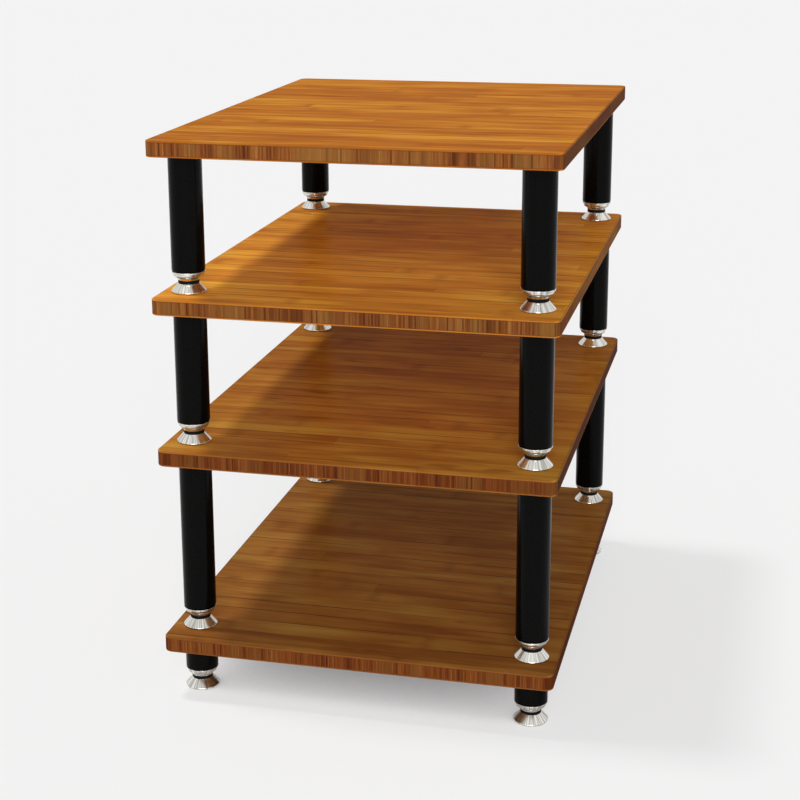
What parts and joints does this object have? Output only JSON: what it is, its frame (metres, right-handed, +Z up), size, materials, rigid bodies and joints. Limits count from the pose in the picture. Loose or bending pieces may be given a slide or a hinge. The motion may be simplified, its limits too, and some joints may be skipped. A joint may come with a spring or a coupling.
{
  "type": "audio equipment rack",
  "caption": "Open audio equipment rack: bamboo shelves on round black columns, each standing on a turned levelling spike, rubber ring and polished pad.",
  "frame": {"origin": "on the floor under the middle of the rack", "axes": "+Z up, -Y the near short end, +X the right-hand long side"},
  "size_m": [0.45, 0.6, 0.649],
  "materials": {
    "bamboo": "clear satin lacquer over caramel strip bamboo",
    "black_column": "satin black powder coat",
    "polished_metal": "turned and polished",
    "rubber_ring": "matt black"
  },
  "bodies": {
    "bottom_shelf": {"shelf_bottom": "bamboo", "foot_column_front_left": "black_column", "foot_column_front_right": "black_column", "foot_column_back_left": "black_column", "foot_column_back_right": "black_column"},
    "foot_front_left": {"foot_pad_front_left": "polished_metal", "foot_ring_front_left": "rubber_ring"},
    "foot_spike_front_left": {"foot_spike_front_left": "polished_metal"},
    "foot_front_right": {"foot_pad_front_right": "polished_metal", "foot_ring_front_right": "rubber_ring"},
    "foot_spike_front_right": {"foot_spike_front_right": "polished_metal"},
    "foot_back_left": {"foot_pad_back_left": "polished_metal", "foot_ring_back_left": "rubber_ring"},
    "foot_spike_back_left": {"foot_spike_back_left": "polished_metal"},
    "foot_back_right": {"foot_pad_back_right": "polished_metal", "foot_ring_back_right": "rubber_ring"},
    "foot_spike_back_right": {"foot_spike_back_right": "polished_metal"},
    "lower_shelf_pads": {"lower_pad_front_left": "polished_metal", "lower_pad_front_right": "polished_metal", "lower_pad_back_left": "polished_metal", "lower_pad_back_right": "polished_metal"},
    "lower_shelf": {"shelf_lower": "bamboo", "lower_column_front_left": "black_column", "lower_column_front_right": "black_column", "lower_column_back_left": "black_column", "lower_column_back_right": "black_column"},
    "lower_spike_front_left": {"lower_spike_front_left": "polished_metal"},
    "lower_spike_front_right": {"lower_spike_front_right": "polished_metal"},
    "lower_spike_back_left": {"lower_spike_back_left": "polished_metal"},
    "lower_spike_back_right": {"lower_spike_back_right": "polished_metal"},
    "upper_shelf_pads": {"upper_pad_front_left": "polished_metal", "upper_pad_front_right": "polished_metal", "upper_pad_back_left": "polished_metal", "upper_pad_back_right": "polished_metal"},
    "upper_shelf": {"shelf_upper": "bamboo", "upper_column_front_left": "black_column", "upper_column_front_right": "black_column", "upper_column_back_left": "black_column", "upper_column_back_right": "black_column"},
    "upper_spike_front_left": {"upper_spike_front_left": "polished_metal"},
    "upper_spike_front_right": {"upper_spike_front_right": "polished_metal"},
    "upper_spike_back_left": {"upper_spike_back_left": "polished_metal"},
    "upper_spike_back_right": {"upper_spike_back_right": "polished_metal"},
    "top_shelf_pads": {"top_pad_front_left": "polished_metal", "top_pad_front_right": "polished_metal", "top_pad_back_left": "polished_metal", "top_pad_back_right": "polished_metal"},
    "top_shelf": {"shelf_top": "bamboo", "top_column_front_left": "black_column", "top_column_front_right": "black_column", "top_column_back_left": "black_column", "top_column_back_right": "black_column"},
    "top_spike_front_left": {"top_spike_front_left": "polished_metal"},
    "top_spike_front_right": {"top_spike_front_right": "polished_metal"},
    "top_spike_back_left": {"top_spike_back_left": "polished_metal"},
    "top_spike_back_right": {"top_spike_back_right": "polished_metal"}
  },
  "joints": [
    {"name": "foot_height_front_left", "type": "slide", "parent": "bottom_shelf", "child": "foot_front_left", "axis": [0, 0, -1], "range_m": [0, 0.01]},
    {"name": "foot_spike_turn_front_left", "type": "hinge", "parent": "foot_front_left", "child": "foot_spike_front_left", "pos_m": [-0.195, -0.255, 0.02], "axis": [0, 0, -1], "range_deg": [0, 2880]},
    {"name": "foot_height_front_right", "type": "slide", "parent": "bottom_shelf", "child": "foot_front_right", "axis": [0, 0, -1], "range_m": [0, 0.01]},
    {"name": "foot_spike_turn_front_right", "type": "hinge", "parent": "foot_front_right", "child": "foot_spike_front_right", "pos_m": [0.195, -0.255, 0.02], "axis": [0, 0, -1], "range_deg": [0, 2880]},
    {"name": "foot_height_back_left", "type": "slide", "parent": "bottom_shelf", "child": "foot_back_left", "axis": [0, 0, -1], "range_m": [0, 0.01]},
    {"name": "foot_spike_turn_back_left", "type": "hinge", "parent": "foot_back_left", "child": "foot_spike_back_left", "pos_m": [-0.195, 0.255, 0.02], "axis": [0, 0, -1], "range_deg": [0, 2880]},
    {"name": "foot_height_back_right", "type": "slide", "parent": "bottom_shelf", "child": "foot_back_right", "axis": [0, 0, -1], "range_m": [0, 0.01]},
    {"name": "foot_spike_turn_back_right", "type": "hinge", "parent": "foot_back_right", "child": "foot_spike_back_right", "pos_m": [0.195, 0.255, 0.02], "axis": [0, 0, -1], "range_deg": [0, 2880]},
    {"name": "lower_shelf_lift", "type": "slide", "parent": "bottom_shelf", "child": "lower_shelf_pads", "axis": [0, 0, 1], "range_m": [0, 0.05]},
    {"name": "lower_shelf_level", "type": "slide", "parent": "lower_shelf_pads", "child": "lower_shelf", "axis": [0, 0, 1], "range_m": [0, 0.008]},
    {"name": "lower_spike_turn_front_left", "type": "hinge", "parent": "lower_shelf_pads", "child": "lower_spike_front_left", "pos_m": [-0.195, -0.255, 0.096], "axis": [0, 0, -1], "range_deg": [0, 2304]},
    {"name": "lower_spike_turn_front_right", "type": "hinge", "parent": "lower_shelf_pads", "child": "lower_spike_front_right", "pos_m": [0.195, -0.255, 0.096], "axis": [0, 0, -1], "range_deg": [0, 2304]},
    {"name": "lower_spike_turn_back_left", "type": "hinge", "parent": "lower_shelf_pads", "child": "lower_spike_back_left", "pos_m": [-0.195, 0.255, 0.096], "axis": [0, 0, -1], "range_deg": [0, 2304]},
    {"name": "lower_spike_turn_back_right", "type": "hinge", "parent": "lower_shelf_pads", "child": "lower_spike_back_right", "pos_m": [0.195, 0.255, 0.096], "axis": [0, 0, -1], "range_deg": [0, 2304]},
    {"name": "upper_shelf_lift", "type": "slide", "parent": "lower_shelf", "child": "upper_shelf_pads", "axis": [0, 0, 1], "range_m": [0, 0.05]},
    {"name": "upper_shelf_level", "type": "slide", "parent": "upper_shelf_pads", "child": "upper_shelf", "axis": [0, 0, 1], "range_m": [0, 0.008]},
    {"name": "upper_spike_turn_front_left", "type": "hinge", "parent": "upper_shelf_pads", "child": "upper_spike_front_left", "pos_m": [-0.195, -0.255, 0.321], "axis": [0, 0, -1], "range_deg": [0, 2304]},
    {"name": "upper_spike_turn_front_right", "type": "hinge", "parent": "upper_shelf_pads", "child": "upper_spike_front_right", "pos_m": [0.195, -0.255, 0.321], "axis": [0, 0, -1], "range_deg": [0, 2304]},
    {"name": "upper_spike_turn_back_left", "type": "hinge", "parent": "upper_shelf_pads", "child": "upper_spike_back_left", "pos_m": [-0.195, 0.255, 0.321], "axis": [0, 0, -1], "range_deg": [0, 2304]},
    {"name": "upper_spike_turn_back_right", "type": "hinge", "parent": "upper_shelf_pads", "child": "upper_spike_back_right", "pos_m": [0.195, 0.255, 0.321], "axis": [0, 0, -1], "range_deg": [0, 2304]},
    {"name": "top_shelf_lift", "type": "slide", "parent": "upper_shelf", "child": "top_shelf_pads", "axis": [0, 0, 1], "range_m": [0, 0.05]},
    {"name": "top_shelf_level", "type": "slide", "parent": "top_shelf_pads", "child": "top_shelf", "axis": [0, 0, 1], "range_m": [0, 0.008]},
    {"name": "top_spike_turn_front_left", "type": "hinge", "parent": "top_shelf_pads", "child": "top_spike_front_left", "pos_m": [-0.195, -0.255, 0.495], "axis": [0, 0, -1], "range_deg": [0, 2304]},
    {"name": "top_spike_turn_front_right", "type": "hinge", "parent": "top_shelf_pads", "child": "top_spike_front_right", "pos_m": [0.195, -0.255, 0.495], "axis": [0, 0, -1], "range_deg": [0, 2304]},
    {"name": "top_spike_turn_back_left", "type": "hinge", "parent": "top_shelf_pads", "child": "top_spike_back_left", "pos_m": [-0.195, 0.255, 0.495], "axis": [0, 0, -1], "range_deg": [0, 2304]},
    {"name": "top_spike_turn_back_right", "type": "hinge", "parent": "top_shelf_pads", "child": "top_spike_back_right", "pos_m": [0.195, 0.255, 0.495], "axis": [0, 0, -1], "range_deg": [0, 2304]}
  ],
  "couplings": [
    {"joint": "foot_spike_turn_front_left", "follows": "foot_height_front_left", "rad_per_m": 5026.5},
    {"joint": "foot_spike_turn_front_right", "follows": "foot_height_front_right", "rad_per_m": 5026.5},
    {"joint": "foot_spike_turn_back_left", "follows": "foot_height_back_left", "rad_per_m": 5026.5},
    {"joint": "foot_spike_turn_back_right", "follows": "foot_height_back_right", "rad_per_m": 5026.5},
    {"joint": "lower_spike_turn_front_left", "follows": "lower_shelf_level", "rad_per_m": 5026.5},
    {"joint": "lower_spike_turn_front_right", "follows": "lower_shelf_level", "rad_per_m": 5026.5},
    {"joint": "lower_spike_turn_back_left", "follows": "lower_shelf_level", "rad_per_m": 5026.5},
    {"joint": "lower_spike_turn_back_right", "follows": "lower_shelf_level", "rad_per_m": 5026.5},
    {"joint": "upper_spike_turn_front_left", "follows": "upper_shelf_level", "rad_per_m": 5026.5},
    {"joint": "upper_spike_turn_front_right", "follows": "upper_shelf_level", "rad_per_m": 5026.5},
    {"joint": "upper_spike_turn_back_left", "follows": "upper_shelf_level", "rad_per_m": 5026.5},
    {"joint": "upper_spike_turn_back_right", "follows": "upper_shelf_level", "rad_per_m": 5026.5},
    {"joint": "top_spike_turn_front_left", "follows": "top_shelf_level", "rad_per_m": 5026.5},
    {"joint": "top_spike_turn_front_right", "follows": "top_shelf_level", "rad_per_m": 5026.5},
    {"joint": "top_spike_turn_back_left", "follows": "top_shelf_level", "rad_per_m": 5026.5},
    {"joint": "top_spike_turn_back_right", "follows": "top_shelf_level", "rad_per_m": 5026.5}
  ]
}
